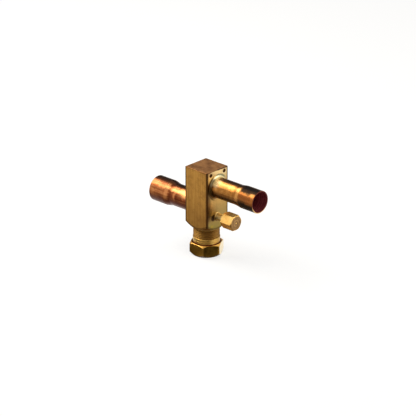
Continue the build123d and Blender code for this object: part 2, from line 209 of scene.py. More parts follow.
class Finish:
    def __init__(self, name):
        self.material = bpy.data.materials.new(name)
        self.material.use_nodes = True
        self.tree = self.material.node_tree
        self.tree.nodes.clear()
        out = self.node("ShaderNodeOutputMaterial")
        self.shader = self.node("ShaderNodeBsdfPrincipled")
        self.feed(self.shader.outputs[0], out.inputs["Surface"])
        self.place = self.node("ShaderNodeTexCoord").outputs["Object"]
        split = self.node("ShaderNodeSeparateXYZ")
        self.feed(self.place, split.inputs[0])
        self.x, self.y, self.z = split.outputs

    def node(self, kind):
        return self.tree.nodes.new(kind)

    def feed(self, value, socket):
        if isinstance(value, bpy.types.NodeSocket):
            self.tree.links.new(value, socket)
        else:
            socket.default_value = value

    def maths(self, operation, first, second=0.0, third=None, clamp=False):
        node = self.node("ShaderNodeMath")
        node.operation = operation
        node.use_clamp = clamp
        self.feed(first, node.inputs[0])
        self.feed(second, node.inputs[1])
        if third is not None:
            self.feed(third, node.inputs[2])
        return node.outputs[0]

    def times(self, first, second):
        return self.maths("MULTIPLY", first, second)

    def plus(self, first, factor, second):
        """first times factor, plus second."""
        return self.maths("MULTIPLY_ADD", first, factor, second)

    def noise(self, scale, stretch=(1, 1, 1), detail=4.0, rough=0.55, warp=0.0, shift=(0, 0, 0)):
        moved = self.node("ShaderNodeMapping")
        self.feed(self.place, moved.inputs["Vector"])
        moved.inputs["Scale"].default_value = stretch
        moved.inputs["Location"].default_value = shift
        node = self.node("ShaderNodeTexNoise")
        self.feed(moved.outputs[0], node.inputs["Vector"])
        for socket, value in (("Scale", scale), ("Detail", detail), ("Roughness", rough),
                              ("Distortion", warp)):
            node.inputs[socket].default_value = value
        return node.outputs["Fac"]

    def step(self, value, low, high):
        """0 below low, 1 above high, eased between them. With low above high it falls."""
        node = self.node("ShaderNodeMapRange")
        node.interpolation_type = "SMOOTHSTEP"
        self.feed(value, node.inputs["Value"])
        node.inputs["From Min"].default_value = low
        node.inputs["From Max"].default_value = high
        return node.outputs["Result"]

    def fall(self, value, low, high):
        """1 below low, 0 above high."""
        return self.maths("SUBTRACT", 1.0, self.step(value, low, high))

    def window(self, value, low, high, soft):
        """1 where value lies between low and high, fading over soft at both ends."""
        rise = self.step(value, low - soft, low + soft)
        fall = self.step(value, high - soft, high + soft)
        return self.maths("SUBTRACT", rise, fall, clamp=True)

    def ramp(self, value, *stops):
        node = self.node("ShaderNodeValToRGB")
        self.feed(value, node.inputs["Fac"])
        ladder = node.color_ramp.elements
        while len(ladder) < len(stops):
            ladder.new(0.5)
        for rung, (where, colour) in zip(ladder, stops):
            rung.position, rung.color = where, colour
        return node.outputs["Color"]

    def mix(self, share, first, second):
        node = self.node("ShaderNodeMix")
        node.data_type = "RGBA"
        self.feed(share, node.inputs["Factor"])
        self.feed(first, node.inputs["A"])
        self.feed(second, node.inputs["B"])
        return node.outputs["Result"]

    def coat(self, colour, mask, share, tint):
        """Lay a share of another tint over the masked part of a colour."""
        return self.mix(self.times(mask, share), colour, tint)

    def facing(self, axis):
        """How far the surface faces along an axis of the valve, -1 to 1."""
        split = self.node("ShaderNodeSeparateXYZ")
        self.feed(self.node("ShaderNodeTexCoord").outputs["Normal"], split.inputs[0])
        return split.outputs["XYZ".index(axis)]

    def facing_flat(self, across, deep):
        """How far the surface faces a level direction given by its X and Y shares."""
        return self.maths("ADD", self.times(self.facing("X"), across),
                          self.times(self.facing("Y"), deep))

    def from_line(self, point, along):
        """Distance to a line through a point, parallel to an axis of the valve."""
        parts = []
        for name, value, centre in zip("XYZ", (self.x, self.y, self.z), point):
            if name != along:
                gap = self.maths("SUBTRACT", value, centre)
                parts.append(self.times(gap, gap))
        return self.maths("SQRT", self.maths("ADD", *parts))

    def lean(self, axis_z):
        """Angle round a stub's axis: 0 on top, a quarter turn on the -Y side."""
        return self.maths("ARCTAN2", self.times(self.y, -1.0),
                          self.maths("SUBTRACT", self.z, axis_z))

    def relief(self, height, strength, depth):
        node = self.node("ShaderNodeBump")
        node.inputs["Strength"].default_value = strength
        node.inputs["Distance"].default_value = depth
        self.feed(height, node.inputs["Height"])
        return node.outputs["Normal"]

    def done(self, colour, rough, metal, normal):
        for value, socket in ((colour, "Base Color"), (rough, "Roughness"), (metal, "Metallic"),
                              (normal, "Normal")):
            self.feed(value, self.shader.inputs[socket])
        return self.material


def wear(node_name, material):
    """Dress a CAD solid in a finish."""
    solid = nodes[node_name]
    solid.data.materials.clear()
    solid.data.materials.append(material)
    print(f"{node_name} wears {material.name}")


# %% [markdown]
# ## The bar: drawn sides
#
# The bar is square brass, drawn through a die, sawn to length, turned at one end and then
# brazed. Each step leaves its own marks, and each gets its own small function. The die leaves
# long streaks up the sides: noise stretched hard along Z. Over them lie stains, smudges and
# short dents, and the lower third is darker.


# %% the drawn sides
DARKER_LOW = (50 * MM, 78 * MM)  # heights between which the darker lower end fades out


def drawn_sides(f, streaks, stains, smudges):
    wide_streaks = f.noise(1.0, (260, 260, 9), detail=4, warp=0.4, shift=(3, 1, 0))
    dents = f.noise(1.0, (760, 760, 120), detail=3, shift=(0, 5, 2))
    side = f.ramp(streaks, (0.26, tone(168, 120, 54)), (0.47, tone(196, 144, 68)),
                  (0.62, tone(208, 158, 80)), (0.78, tone(182, 132, 60)))
    side = f.coat(side, f.step(wide_streaks, 0.50, 0.72), 0.35, tone(150, 104, 46))
    side = f.coat(side, f.step(stains, 0.44, 0.76), 0.55, tone(140, 92, 46))
    side = f.coat(side, f.step(smudges, 0.50, 0.72), 0.4, tone(122, 80, 30))
    side = f.coat(side, f.step(dents, 0.60, 0.70), 0.5, tone(104, 66, 26))
    darker_low = f.fall(f.plus(stains, 14 * MM, f.z), *DARKER_LOW)
    return f.coat(side, darker_low, 0.42, tone(132, 90, 38))


# %% [markdown]
# ## The bar: the torched face
#
# The face with the upper stub was milled clean. The torch bleached it above the stub, spent flux
# dried in a grey-green ring, and damp air turned its lower end olive. Distances to the stub's
# axis place the ring, and heights place the rest.


# %% the face on the upper stub's side
FLUX_RING = (12.6 * MM, 14.6 * MM)
DULL = (48 * MM, 68 * MM)
TARNISH = (42 * MM, 52 * MM)


def torched_face(f, side, stains, smudges, from_tube):
    above = f.step(f.z, UPPER_Z + 1 * MM, UPPER_Z + 12 * MM)
    face = f.mix(0.4, side, tone(206, 170, 104))
    face = f.coat(face, above, 0.95, tone(246, 212, 148))
    far = f.times(f.step(f.y, 3 * MM, 9 * MM), f.step(f.z, 60 * MM, 74 * MM))
    face = f.coat(face, far, 0.45, tone(170, 144, 98))
    flux = f.times(f.window(from_tube, *FLUX_RING, 0.4 * MM), f.step(f.y, -5 * MM, 1 * MM))
    flux = f.times(flux, f.step(f.z, UPPER_Z + 6 * MM, UPPER_Z + 11 * MM))
    face = f.coat(face, flux, 0.8, tone(112, 118, 90))
    face = f.coat(face, f.fall(f.z, *DULL), 0.6, tone(146, 126, 72))
    tarnish = f.fall(f.plus(stains, 16 * MM, f.z), *TARNISH)
    face = f.coat(face, tarnish, 0.6, tone(134, 122, 48))
    return f.coat(face, f.times(tarnish, f.step(smudges, 0.5, 0.6)), 0.5, tone(186, 152, 44))


# %% [markdown]
# ## The bar: painted shade
#
# Painted shade lies on this face: a crescent on the near side of the stub, a strip along the edge
# of the face, and a patch beside the access port. They overlap, so the strongest of the three
# counts, and the stains break it up.


# %% where painted shade lies on the torched face
SHADE_RING = (12 * MM, 15 * MM)
SHADE_STRIP = (44 * MM, 77 * MM)
SHADE_BY_PORT = (HALF, -6.2 * MM, PORT_Z)


def painted_shade_mask(f, stains, from_tube):
    near = f.times(f.y, -1.0)
    crescent = f.times(f.window(from_tube, *SHADE_RING, 0.8 * MM), f.step(near, 2 * MM, 9 * MM))
    strip = f.times(f.step(near, 8 * MM, 12.5 * MM), f.window(f.z, *SHADE_STRIP, 5 * MM))
    by_port = f.window(f.from_line(SHADE_BY_PORT, "X"), -1.0, 3.6 * MM, 1.2 * MM)
    # the three painted shade marks together
    painted_shade = f.maths("MAXIMUM", f.maths("MAXIMUM", crescent, f.times(strip, 0.8)),
                   f.times(by_port, 1.2))
    return f.times(painted_shade, f.plus(stains, 0.5, 0.62))


# %% [markdown]
# ## The bar: sawn top and broken edges
#
# A large saw leaves shallow arcs about a far centre: a sine of the distance to that centre, shaken
# by noise. The edges were then broken by hand, which left a bevel and a burr along half of one
# side. The top edge and its bevel are painted brown, painted shade, and the four long corners of
# the bar are painted dark, a painted shadow along the edges.


# %% the top and the edges
SAW_CENTRE = (18 * MM, -115 * MM, 0)
SAW_STEP = 1.33685 * MM


def sawn_top(f):
    """The saw's lines and the colour of the sawn face."""
    lines = f.maths("SINE", f.plus(f.from_line(SAW_CENTRE, "Z"), 2 * math.pi / SAW_STEP,
                                   f.times(f.noise(240), 2.2)))
    sawn = f.ramp(f.plus(lines, 0.09, f.noise(150, detail=6)),
                  (0.25, tone(128, 86, 50)), (0.5, tone(160, 112, 68)), (0.8, tone(184, 136, 86)))
    return lines, sawn


def broken_edges(f, colour, stains, top):
    brown = tone(112, 72, 38)
    # painted shade on the top edge and its bevel
    rim = f.step(f.plus(f.maths("SUBTRACT", stains, 0.5), 4 * MM, f.z),
                 BLOCK_TOP - 1.5 * MM, BLOCK_TOP - 0.4 * MM)
    rim = f.times(rim, f.maths("SUBTRACT", 1.0, top))
    colour = f.coat(colour, rim, 0.7, brown)
    bevel = f.times(f.window(f.facing("Z"), 0.25, 0.93, 0.05),
                    f.step(f.z, BLOCK_TOP - 1.0 * MM, BLOCK_TOP - 0.7 * MM))
    colour = f.coat(colour, bevel, 0.9, brown)
    burr = f.times(f.step(f.x, HALF - 1.0 * MM, HALF - 0.6 * MM),
                   f.step(f.z, BLOCK_TOP - 0.9 * MM, BLOCK_TOP - 0.5 * MM))
    burr = f.times(burr, f.step(f.plus(stains, 6 * MM, f.y), 1.5 * MM, 3 * MM))
    colour = f.coat(colour, burr, 0.85, tone(64, 34, 32))
    # painted shadow down the four long corners
    corner_shadow = f.maths("ADD", f.maths("ABSOLUTE", f.x), f.maths("ABSOLUTE", f.y))
    corner_shadow = f.step(corner_shadow, 2 * HALF - 2.8 * MM, 2 * HALF - 1.1 * MM)
    corner_shadow = f.times(corner_shadow, f.step(f.z, BLOCK_BOTTOM + 1 * MM, BLOCK_BOTTOM + 4 * MM))
    return f.coat(colour, corner_shadow, 0.9, tone(66, 36, 10))


# %% [markdown]
# ## The bar: lathe work
#
# Below the bar a lathe turned the corners off and cut the neck, in rings: noise stretched hard
# across Z. The neck is painted darker on the side between +X and -Y, a painted dark reflection.
# Where the corners end a dark band is painted, and the little shoulder under the cone is painted
# bright, a painted highlight. The cone's own slope says where the band is.


# %% the turned end
CONE_BAND = (-0.2 * MM, 2.0 * MM)
SHOULDER = (BLOCK_BOTTOM - 1.3 * MM, BLOCK_BOTTOM - 0.2 * MM)


def cone_band(f, colour):
    reach = f.maths("SUBTRACT", f.from_line((0, 0, 0), "Z"), HALF)
    above_cone = f.maths("SUBTRACT", f.plus(reach, -CONE_RISE, f.z), BLOCK_BOTTOM)
    # a dark band painted where the cone meets the sides
    return f.coat(colour, f.window(above_cone, *CONE_BAND, 0.7 * MM), 0.6, tone(74, 44, 16))


def turned_end(f, colour, rings, turned, lit_shoulder):
    lathe = f.ramp(rings, (0.3, tone(128, 90, 36)), (0.5, tone(148, 108, 50)),
                   (0.72, tone(162, 122, 60)))
    round_it = f.maths("ARCTAN2", f.times(f.y, -1.0), f.x)
    # painted dark reflection on one side of the neck
    lathe = f.coat(lathe, f.window(round_it, 0.35, 1.15, 0.35), 0.28, tone(88, 58, 16))
    colour = f.mix(turned, colour, lathe)
    # painted highlight on the shoulder
    return f.coat(colour, lit_shoulder, 0.9, tone(236, 204, 124))


# %% [markdown]
# ## The bar: bracket holes
#
# Two drilled holes take a bracket. A bright crescent is painted below each mouth, a painted
# highlight, and the lip above that is painted dark, a painted shadow; inside lies dull oxide.
# The nearer of the two holes counts, so one distance serves both.


# %% round the bracket holes
HOLE_APART = 20.3 * MM
HOLE_Z = BLOCK_TOP - 3.6 * MM
HOLE_R = 2.0 * MM


def bracket_holes(f, colour, right):
    """The colour with both holes in it, and the mask of their inside."""
    hole = f.maths("MINIMUM", f.from_line((HALF, -HOLE_APART / 2, HOLE_Z), "X"),
                   f.from_line((HALF, HOLE_APART / 2, HOLE_Z), "X"))
    # painted highlight: a bright crescent below each hole
    hole_highlight = f.times(f.window(hole, HOLE_R + 0.5 * MM, HOLE_R + 1.2 * MM, 0.2 * MM), right)
    hole_highlight = f.times(hole_highlight, f.step(f.z, HOLE_Z + 1 * MM, HOLE_Z - 1 * MM))
    colour = f.coat(colour, hole_highlight, 0.7, tone(255, 236, 180))
    # painted shadow on the lip
    lip_shadow = f.times(f.window(hole, HOLE_R - 0.1 * MM, HOLE_R + 0.4 * MM, 0.1 * MM), right)
    lip_shadow = f.times(lip_shadow, f.step(f.z, HOLE_Z + 1.2 * MM, HOLE_Z - 0.4 * MM))
    colour = f.coat(colour, lip_shadow, 0.85, tone(84, 48, 18))
    drilled = f.fall(hole, HOLE_R - 0.02 * MM, HOLE_R + 0.04 * MM)
    drilled = f.times(drilled, f.step(f.x, 2 * MM, 3 * MM))
    return f.mix(drilled, colour, tone(150, 98, 52)), drilled


# %% [markdown]
# ## The whole bar
#
# The marks are laid on in the order in which the real ones came: drawing, milling, torch, saw,
# file, lathe and drill. The stem's bore is shaded last. Polished parts stay metal, while the
# inside of the holes and the shoulder lose most of their mirror.


# %% finish of the bar
BORE_R = 9.6 * MM


def bar_finish():
    f = Finish("drawn_bar_brass")
    streaks = f.noise(1.0, (900, 900, 22), detail=7, rough=0.7, warp=0.2)
    stains = f.noise(75, detail=6, rough=0.62)
    smudges = f.noise(170, detail=5, rough=0.7, shift=(2, 0, 4))
    rings = f.noise(1.0, (6, 6, 3200), detail=3)
    right = f.step(f.facing("X"), 0.6, 0.9)
    top = f.step(f.facing("Z"), 0.75, 0.95)
    turned = f.fall(f.z, BLOCK_BOTTOM - 0.2 * MM, BLOCK_BOTTOM + 0.2 * MM)
    lit_shoulder = f.window(f.z, *SHOULDER, 0.1 * MM)
    from_tube = f.from_line((HALF, 0, UPPER_Z), "X")

    side = drawn_sides(f, streaks, stains, smudges)
    face = torched_face(f, side, stains, smudges, from_tube)
    # painted shade on the torched face
    face = f.mix(painted_shade_mask(f, stains, from_tube), face, tone(62, 40, 14))
    colour = f.mix(right, side, face)
    lines, sawn = sawn_top(f)
    colour = f.mix(top, colour, sawn)
    colour = broken_edges(f, colour, stains, top)
    colour = turned_end(f, cone_band(f, colour), rings, turned, lit_shoulder)
    colour, drilled = bracket_holes(f, colour, right)
    inside = f.fall(f.from_line((0, 0, 0), "Z"), BORE_R - 0.1 * MM, BORE_R + 0.1 * MM)
    inside = f.times(inside, f.maths("SUBTRACT", 1.0, top))
    colour = f.coat(colour, inside, 0.4, tone(120, 80, 40))

    grain = f.mix(turned, f.mix(top, streaks, lines), f.plus(rings, 0.5, 0.25))
    rough = f.plus(f.maths("ADD", top, turned), 0.14, f.plus(stains, 0.25, 0.27))
    dull = f.maths("MAXIMUM", drilled, f.times(lit_shoulder, 0.9))
    return f.done(colour, rough, f.plus(dull, -0.85, 1.0), f.relief(grain, 0.22, 0.12 * MM))


wear("valve_body", bar_finish())

# %% [markdown]
# ## Copper stubs: the drawn tube
#
# Both stubs are the same tube, yet they look different: the upper one was cleaned after brazing
# and shines gold, the lower one kept its red heat colour. One recipe makes both from five tones.
# Under everything lie blushes and mottles from the heat and long marks from drawing the tube.


# %% the drawn copper
def drawn_copper(f, tones, blush, drawn):
    colour = f.ramp(blush, (0.18, tones["dark"]), (0.48, tones["middle"]), (0.74, tones["bright"]))
    mottle = f.noise(42, detail=6, rough=0.6, warp=0.6, shift=(4, 0, 1))
    colour = f.coat(colour, f.step(mottle, 0.46, 0.66), 0.65, tones["dark"])
    colour = f.coat(colour, f.step(drawn, 0.50, 0.70), 0.6, tones["bright"])
    return f.coat(colour, f.step(drawn, 0.46, 0.28), 0.45, tones["dark"])


# %% [markdown]
# ## Copper stubs: painted light and shade
#
# A dark band is painted along the top, a painted dark reflection, and the underside is painted
# dark, painted shade. A light stripe is painted where the highlight runs, fainter on the stub with
# more black at its wide end. The foot of the tube gets a pale painted highlight: a patch on the
# near side that fades outward, and a short crown over the top. Angles round the tube, in
# radians, say where each begins.


# %% painted shade on top and underside, painted highlights on stripe and foot
def stub_light_and_shade(f, colour, tones, along, lean, wobble, ink, lit_foot_reach):
    """The colour, and the mask of the painted highlight on the foot, which is rougher too."""
    upright = f.maths("ABSOLUTE", lean)
    # painted dark reflection along the top of the tube
    colour = f.coat(colour, f.fall(upright, 0.24, 0.5), 0.9, tone(64, 32, 10))
    # painted shade on the underside
    underside_shade = f.step(f.maths("ABSOLUTE", wobble), 1.2, 2.0)
    colour = f.coat(colour, underside_shade, 0.9, tones["dark"])
    # painted highlight stripe, fainter on the stub with more black
    highlight_stripe = f.window(wobble, 0.56, 0.84, 0.1)
    colour = f.coat(colour, highlight_stripe, 0.5 * (1.0 - ink), tones["foot"])
    # painted highlight on the foot, with a short crown over the top
    foot = f.times(f.fall(along, HALF + 3 * MM, HALF + lit_foot_reach), f.window(lean, 0.35, 1.1, 0.2))
    crown = f.times(f.fall(along, HALF + 3 * MM, HALF + 5 * MM), f.fall(upright, 0.5, 0.8))
    foot = f.maths("MAXIMUM", foot, crown)
    return f.coat(colour, foot, 0.9, tones["foot"]), foot


# %% [markdown]
# ## Copper stubs: the swaged end
#
# Each end was swaged wider to take the next tube. The bend before it carries a dark band and, on
# its lit side, a bright painted highlight. On the wide end a black band is painted near the top, a
# painted dark reflection, with red-brown below it and black again underneath, painted shade. The
# upper stub has much of it, the lower one little, which is what `ink` says.


# %% the swage and its painted dark bands
def swaged_end(f, colour, tones, along, lean, wobble, blush, swage, ink):
    """The colour, and the mask of the painted black bands, which is rougher too."""
    band = f.window(along, swage - 5.5 * MM, swage - 2.5 * MM, 1.2 * MM)
    colour = f.coat(colour, band, 0.5, tones["dark"])
    # painted highlight on the lit side of the bend
    bend_highlight = f.window(along, swage - 1.0 * MM, swage + 3.0 * MM, 1.0 * MM)
    bend_highlight = f.times(bend_highlight, f.window(lean, 0.35, 1.7, 0.15))
    colour = f.coat(colour, bend_highlight, 0.5, tones["bright"])
    wide = f.times(f.step(f.plus(blush, 7 * MM, along), swage + 5 * MM, swage + 9 * MM), ink)
    red = f.times(f.window(wobble, 0.84, 1.6, 0.12), wide)
    colour = f.coat(colour, red, 0.75, tone(134, 72, 34))
    # painted dark reflection near the top and painted shade underneath
    black = f.maths("MAXIMUM", f.window(wobble, 0.0, 0.80, 0.14),
                    f.times(f.window(wobble, 1.60, 3.0, 0.2), 0.92))
    black = f.times(black, wide)
    return f.mix(black, colour, tones["painted_dark"]), black


# %% [markdown]
# ## Copper stubs: rim and bore
#
# The cut rim is painted dark round the top and bright on the near side below, a painted
# highlight. Inside, the tube is dull wine-red oxide with faint turned circles. The bore is found by
# its surface facing the axis rather than by its radius, which the swage changes along the way.


# %% the mouth of a stub
def mouth(f, colour, axis_z, side, lean, ink):
    """The colour, and the mask of the bore."""
    cut = f.step(f.times(f.facing("X"), side), 0.5, 0.8)
    # the rim is painted dark round the top, with a painted highlight below on the near side
    dark_rim = f.times(f.window(lean, -2.4, 1.9, 0.25), ink)
    colour = f.mix(cut, colour, f.mix(dark_rim, tone(255, 214, 140), tone(92, 24, 20)))
    outward = f.maths("ADD", f.times(f.facing("Y"), f.y),
                      f.times(f.facing("Z"), f.maths("SUBTRACT", f.z, axis_z)))
    bore = f.step(outward, -0.5 * MM, -1.5 * MM)
    wine = f.ramp(f.noise(1.0, (700, 8, 8), detail=2),
                  (0.35, tone(132, 48, 54)), (0.65, tone(166, 76, 80)))
    return f.mix(bore, colour, wine), bore


# %% [markdown]
# ## The two stubs
#
# The same marks go on both stubs. `side` turns the lower one round, since it points the other
# way, and the last number says how far from the bar the painted highlight on its foot runs. The
# tone under `foot` colours the painted highlights.


# %% finish of the two stubs
def stub_finish(name, axis_z, side, tones, swage, ink, lit_foot_reach):
    f = Finish(name)
    drawn = f.noise(1.0, (14, 620, 620), detail=5)
    blush = f.noise(80, detail=5, warp=1.2)
    rings = f.noise(1.0, (2600, 12, 12), detail=2)
    along = f.times(f.x, side)
    lean = f.lean(axis_z)
    wobble = f.plus(f.maths("SUBTRACT", f.noise(90, detail=3), 0.5), 0.7, lean)
    colour = drawn_copper(f, tones, blush, drawn)
    # painted shade and painted highlights on the stub
    colour, foot = stub_light_and_shade(f, colour, tones, along, lean, wobble, ink, lit_foot_reach)
    # painted highlight on the bend and painted dark bands on the wide end
    colour, black = swaged_end(f, colour, tones, along, lean, wobble, blush, swage, ink)
    colour, bore = mouth(f, colour, axis_z, side, lean, ink)
    rough = f.plus(foot, 0.2, f.plus(blush, 0.08, 0.24))
    rough = f.plus(f.maths("MAXIMUM", bore, black), 0.22, rough)
    normal = f.relief(f.mix(0.12, drawn, rings), 0.07, 0.06 * MM)
    return f.done(colour, rough, f.plus(bore, -0.75, 1.0), normal)


GOLDEN = {"bright": tone(228, 166, 92), "middle": tone(184, 116, 48), "dark": tone(112, 70, 26),
          "painted_dark": tone(20, 14, 12), "foot": tone(255, 236, 180)}
RED = {"bright": tone(226, 154, 94), "middle": tone(156, 84, 44), "dark": tone(84, 34, 14),
       "painted_dark": tone(64, 26, 14), "foot": tone(255, 184, 112)}
wear("upper_tube", stub_finish("golden_copper", UPPER_Z, 1.0, GOLDEN, swage=51.5 * MM, ink=0.95,
                               lit_foot_reach=12 * MM))
wear("lower_tube", stub_finish("red_copper", LOWER_Z, -1.0, RED, swage=47 * MM, ink=0.4,
                               lit_foot_reach=19 * MM))

# %% [markdown]
# ## Braze
#
# Where silver alloy flowed round a stub it froze into a smooth ring, a little lumpy. The top of
# each ring is painted pale and its lower part brown, painted light and shade. The upper ring also
# gets painted shade on its near side, and keeps spent flux along its rim. Lumps come from one
# noise, which drives the tone, the roughness and the relief together.


# %% finish of the braze
FLUX_RIM = (12.2 * MM, 12.8 * MM)


def braze_finish(name, axis_z, pale, shaded_tone, low, high, painted_shade=0.0):
    f = Finish(name)
    lumps = f.noise(240, detail=4)
    lit_top = f.ramp(lumps, (0.3, pale[0]), (0.5, pale[1]), (0.7, pale[2]))
    # painted light and shade: pale top, brown lower part
    share = f.step(f.plus(lumps, 3 * MM, f.z), axis_z + low, axis_z + high)
    colour = f.mix(share, shaded_tone, lit_top)
    colour = f.coat(colour, f.step(lumps, 0.55, 0.7), 0.4, pale[0])
    lean = f.lean(axis_z)
    # painted shade on the near side
    colour = f.coat(colour, f.window(lean, 0.42, 2.4, 0.25), painted_shade, tone(66, 44, 18))
    # spent flux along the rim, as strong as that painted shade
    rim = f.step(f.from_line((0, 0, axis_z), "X"), *FLUX_RIM)
    rim = f.times(f.times(rim, f.window(lean, -1.2, 0.2, 0.2)), painted_shade)
    colour = f.coat(colour, rim, 0.8, tone(126, 130, 98))
    return f.done(colour, f.plus(lumps, 0.3, 0.18), 1.0, f.relief(lumps, 0.5, 0.25 * MM))


SILVER = (tone(232, 200, 132), tone(252, 230, 170), tone(255, 246, 208))
BRONZE = (tone(176, 136, 76), tone(206, 168, 100), tone(222, 190, 124))
wear("upper_braze_fillet", braze_finish("silver_braze", UPPER_Z, SILVER, tone(128, 92, 44),
                                        3 * MM, 9 * MM, painted_shade=0.85))
wear("lower_braze_fillet", braze_finish("lower_braze", LOWER_Z, BRONZE, tone(120, 76, 40),
                                        2 * MM, 10 * MM))
wear("port_braze_fillet", braze_finish("port_braze", PORT_Z, BRONZE, tone(120, 88, 40),
                                       0 * MM, 6 * MM))

# %% [markdown]
# ## Turned brass
#
# Caps, stem and port fitting come off a lathe. One recipe serves them all: fine rings about the
# axis they were turned on, a slow drift between a light and a dark tone, and fingerprints in the
# roughness. Only the tones and the axis differ, and a cap may lay its own marks on top.


# %% finish of the turned pieces
def turned_finish(name, axis, centre, tones, rough_base, ring_pitch=0.35 * MM, extra=None):
    f = Finish(name)
    light, middle, dark = tones
    patches = f.noise(210, detail=5)
    along = {"Z": f.z, "X": f.x}[axis]
    radius = f.from_line(centre, axis)
    rings = f.maths("SINE", f.times(f.maths("ADD", along, radius), 2 * math.pi / ring_pitch))
    rings = f.plus(rings, 0.25, f.noise(400, detail=3))
    colour = f.ramp(f.noise(55, detail=4), (0.30, dark), (0.5, middle), (0.68, light))
    colour = f.mix(f.step(patches, 0.58, 0.75), colour, dark)
    if extra is not None:
        colour = extra(f, colour, radius, along)
    return f.done(colour, f.plus(patches, 0.22, rough_base), 1.0,
                  f.relief(rings, 0.1, 0.05 * MM))


# %% [markdown]
# ## The seal cap
#
# The large hexagon's flats are dark, while the lathe cut a bright chamfer and a gold collar above
# it. The ledge and a thin ring at the collar's foot are painted red-brown, painted shade in the
# groove there. Two flats carry painted highlights, one bright and one faint, and the collar carries
# a painted highlight on one side. The surface's direction tells flats, chamfer and ledge apart,
# and the radius keeps these marks off the inside of the cap.


# %% marks of the seal cap
INSIDE_R = 14.0 * MM  # the inside of the cap is nearer the axis than this
LEDGE_R = 15.35 * MM
CORNER_R = 18.1 * MM
FOOT_HIGH = 0.75 * MM  # height of the red-brown ring at the collar's foot


def hexagon_shell(f, radius):
    """Flats with two painted highlights, worn corners, chamfer and a ledge painted as shade."""
    up = f.facing("Z")
    flats = f.ramp(f.noise(130, detail=5), (0.3, tone(58, 40, 10)), (0.5, tone(84, 60, 18)),
                   (0.72, tone(112, 82, 28)))
    flats = f.mix(f.step(radius, CORNER_R - 0.5 * MM, CORNER_R + 0.5 * MM), flats,
                  tone(150, 110, 44))
    # painted highlights: bright on the flat facing right, faint on the flat facing -Y
    flats = f.mix(f.step(f.facing_flat(0.727, 0.687), 0.9, 0.97), flats, tone(252, 236, 200))
    flats = f.coat(flats, f.step(f.facing("Y"), -0.88, -0.96), 0.8, tone(184, 134, 48))
    shell = f.mix(f.window(up, 0.55, 0.95, 0.04), flats, tone(236, 180, 88))
    # the ledge painted red-brown, painted shade
    return f.mix(f.step(up, 0.95, 0.99), shell, tone(112, 56, 26))


def seal_cap_marks(f, colour, radius, along):
    outer = f.step(radius, INSIDE_R - 0.1 * MM, INSIDE_R + 0.1 * MM)
    hexagon = f.fall(along, HEX_TOP - 0.05 * MM, HEX_TOP + 0.05 * MM)
    colour = f.mix(f.times(hexagon, outer), colour, hexagon_shell(f, radius))
    # painted highlight on one side of the collar
    collar_highlight = f.times(f.step(f.facing_flat(-0.5, -0.866), 0.82, 0.98),
                      f.step(along, HEX_TOP, HEX_TOP + 0.1 * MM))
    colour = f.coat(colour, collar_highlight, 0.5, tone(255, 226, 150))
    # a thin red-brown ring painted at the collar's foot, painted shade
    foot = f.times(f.window(along, HEX_TOP - 0.1 * MM, HEX_TOP + FOOT_HIGH, 0.12 * MM),
                   f.fall(radius, LEDGE_R - 0.25 * MM, LEDGE_R + 0.25 * MM))
    return f.mix(f.times(foot, outer), colour, tone(122, 44, 22))


# %% [markdown]
# ## The port cap
#
# The closed end of the small cap is duller than its flats, with two turned circles in it. The
# chamfer round that end is painted dark on its lower near side, painted shade.


# %% marks of the port cap
OUTER_CIRCLE = (4.3 * MM, 5.0 * MM)
INNER_CIRCLE = (1.6 * MM, 2.2 * MM)


def port_cap_marks(f, colour, radius, along):
    dull = f.ramp(f.noise(260, detail=4), (0.3, tone(128, 94, 54)), (0.7, tone(176, 136, 86)))
    circles = f.maths("MAXIMUM", f.window(radius, *OUTER_CIRCLE, 0.2 * MM),
                      f.window(radius, *INNER_CIRCLE, 0.2 * MM))
    dull = f.coat(dull, circles, 0.6, tone(92, 64, 40))
    colour = f.mix(f.step(f.facing("X"), 0.9, 0.98), colour, dull)
    # painted shade on the lower near side of the end chamfer
    lower_edge_shade = f.times(f.window(f.facing("X"), 0.15, 0.88, 0.05),
                     f.window(f.lean(PORT_Z), 1.45, 2.7, 0.2))
    lower_edge_shade = f.times(lower_edge_shade, f.step(along, port_cap_high.x - 3 * MM, port_cap_high.x - 2.5 * MM))
    return f.coat(colour, lower_edge_shade, 0.9, tone(70, 32, 14))


# %% [markdown]
# ## Dressing the turned pieces
#
# The caps get their own marks. The port fitting is the palest brass, and the core body shares its
# finish. The stem is smooth and clean: it lives in oil.

# %% tones of the turned pieces
STEM_LINE = (0, 0, 0)
PORT_LINE = (0, 0, PORT_Z)
CAP_TONES = tone(222, 182, 100), tone(200, 156, 78), tone(160, 116, 52)
PORT_CAP_TONES = tone(250, 204, 120), tone(232, 180, 96), tone(186, 130, 60)
FITTING_TONES = tone(255, 230, 164), tone(240, 204, 134), tone(200, 152, 82)
STEM_TONES = tone(236, 200, 122), tone(214, 170, 92), tone(170, 122, 58)
wear("seal_cap", turned_finish("seal_cap_brass", "Z", STEM_LINE, CAP_TONES, 0.24,
                               extra=seal_cap_marks))
wear("port_cap", turned_finish("port_cap_brass", "X", PORT_LINE, PORT_CAP_TONES, 0.26,
                               ring_pitch=1.1 * MM, extra=port_cap_marks))
fitting_brass = turned_finish("port_fitting_brass", "X", PORT_LINE, FITTING_TONES, 0.34)
wear("port_fitting", fitting_brass)
wear("core_body", fitting_brass)
wear("stem", turned_finish("stem_brass", "Z", STEM_LINE, STEM_TONES, 0.2))

# %% [markdown]
# ## Small inner pieces
#
# Springs, pins, rings and seals are mostly out of sight, but they show when a cap is off or the
# core is drawn. Each still gets its own surface: ground steel with fine scratches, black rubber
# with a dusty bloom, white sealing plastic, and a soft copper washer.


